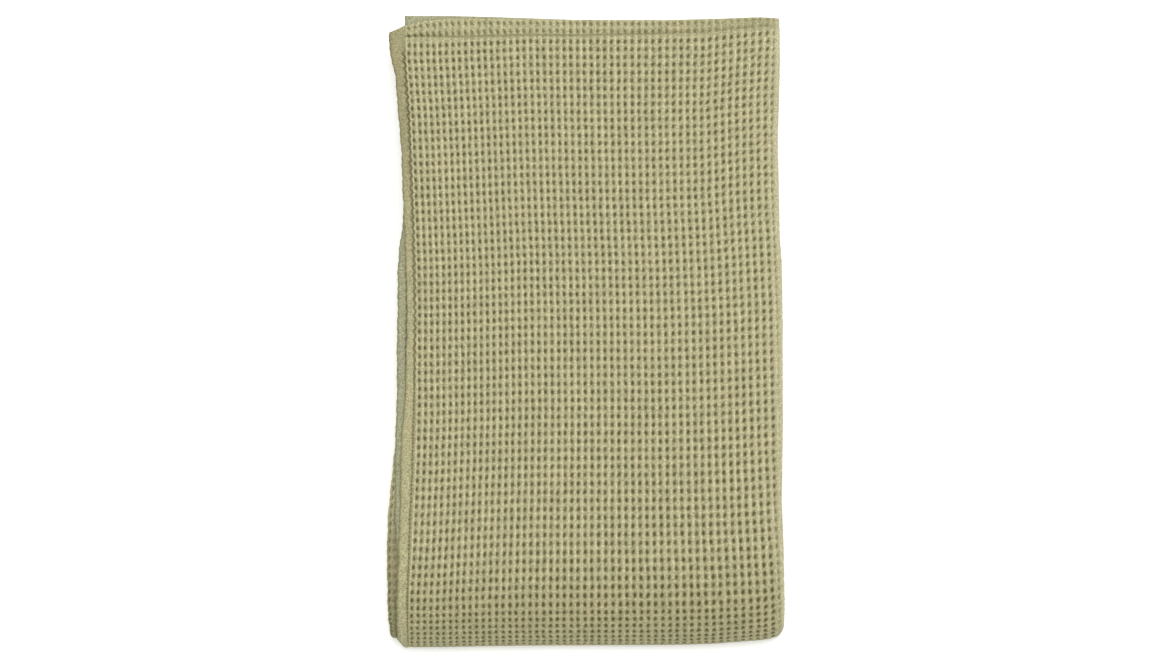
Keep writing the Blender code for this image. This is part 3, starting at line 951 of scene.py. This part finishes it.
def pale_floor():
    """White floor of a studio's light table: matt, with a low even glow that keeps shadows faint."""
    material = bpy.data.materials.new("white studio floor")
    material.use_nodes = True
    shader = material.node_tree.nodes["Principled BSDF"]
    shader.inputs["Base Color"].default_value = linear("F6F6F4")
    shader.inputs["Roughness"].default_value = 0.9
    shader.inputs["Specular IOR Level"].default_value = 0.1
    shader.inputs["Emission Color"].default_value = linear("FFFFFF")
    shader.inputs["Emission Strength"].default_value = 0.28
    return material


def stretch_rows(first, last, pattern):
    """The grid lines of one stretch along the cloth, with those of the head hem where it ends in one."""
    lines = cell_lines(first, last, pattern)
    hem = CELLS_HEM * HEAD_HEM_LINES
    if first == 0:
        return np.concatenate([hem - CELLS_HEM, lines])
    if last == round(LAST_END):
        return np.concatenate([lines[:-1], LAST_END + CELLS_HEM - hem[::-1]])
    return lines


def build_cloth():
    """All the stretches of the cloth, in the order in which the path meets them."""
    cotton = waffle_cotton()
    kinds = {"front": section(FINE, MEDIUM), "woven": section(MEDIUM, MEDIUM), "plain": section(None, MEDIUM)}
    pieces = []
    for name, kind, first, last, pattern, count in STRETCHES:
        pieces.append(cloth(name, kinds[kind], stretch_rows(first, last, pattern), cotton))
    return pieces


# The stage
FLOOR_REACH = 6.0
SOFTBOX_SIDE = 5.0
SOFTBOX_POWER = 430.0
SOFTBOX_PLACE = (0.4, 2.3, 7.3)
SOFTBOX_TILT = (-0.305, 0.052, 0.0)
SURROUND = 0.66


def set_stage():
    """A white floor under the cloth, a broad soft light above it and an even white surround."""
    mesh = bpy.data.meshes.new("floor")
    corners = [(FLOOR_REACH * x, FLOOR_REACH * y, 0) for x, y in ((-1, -1), (1, -1), (1, 1), (-1, 1))]
    mesh.from_pydata(corners, [], [(0, 1, 2, 3)])
    mesh.materials.append(pale_floor())
    floor = bpy.data.objects.new("floor", mesh)
    bpy.context.scene.collection.objects.link(floor)
    lamp = bpy.data.lights.new("softbox", "AREA")
    lamp.shape = "RECTANGLE"
    lamp.size = SOFTBOX_SIDE
    lamp.size_y = SOFTBOX_SIDE
    lamp.energy = SOFTBOX_POWER
    softbox = bpy.data.objects.new("softbox", lamp)
    softbox.location = SOFTBOX_PLACE
    softbox.rotation_euler = SOFTBOX_TILT
    bpy.context.scene.collection.objects.link(softbox)
    world = bpy.data.worlds.new("surround")
    world.use_nodes = True
    world.node_tree.nodes["Background"].inputs["Color"].default_value = (1.0, 1.0, 1.0, 1.0)
    world.node_tree.nodes["Background"].inputs["Strength"].default_value = SURROUND
    bpy.context.scene.world = world
    bpy.context.scene.view_settings.view_transform = "Standard"


# The camera looks straight down with a long lens. One pixel is 1.028 mm at the height of the front, and the
# middle of the stack lies at the origin's pixel, counted from the picture's top left.
PIXEL = 0.001028
PICTURE = (1170, 659)
ORIGIN_PIXEL = (585.75, 331.9)
SENSOR = 0.036
LENS = 0.300
FRONT_HEIGHT = 0.052
CAMERA_SEES = 20.0


def set_camera():
    """The camera over the picture's middle, as far up as makes one pixel its real size at the front."""
    camera = bpy.data.cameras.new("camera")
    camera.sensor_width = 1000 * SENSOR
    camera.lens = 1000 * LENS
    camera.clip_end = CAMERA_SEES
    seen = bpy.data.objects.new("camera", camera)
    distance = PICTURE[0] * PIXEL * LENS / SENSOR
    x = (PICTURE[0] / 2 - ORIGIN_PIXEL[0]) * PIXEL
    y = (ORIGIN_PIXEL[1] - PICTURE[1] / 2) * PIXEL
    seen.location = (x, y, FRONT_HEIGHT + distance)
    bpy.context.scene.collection.objects.link(seen)
    bpy.context.scene.camera = seen


set_camera()
made = build_cloth()
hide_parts("bedspread")
set_stage()
bpy.context.view_layer.update()
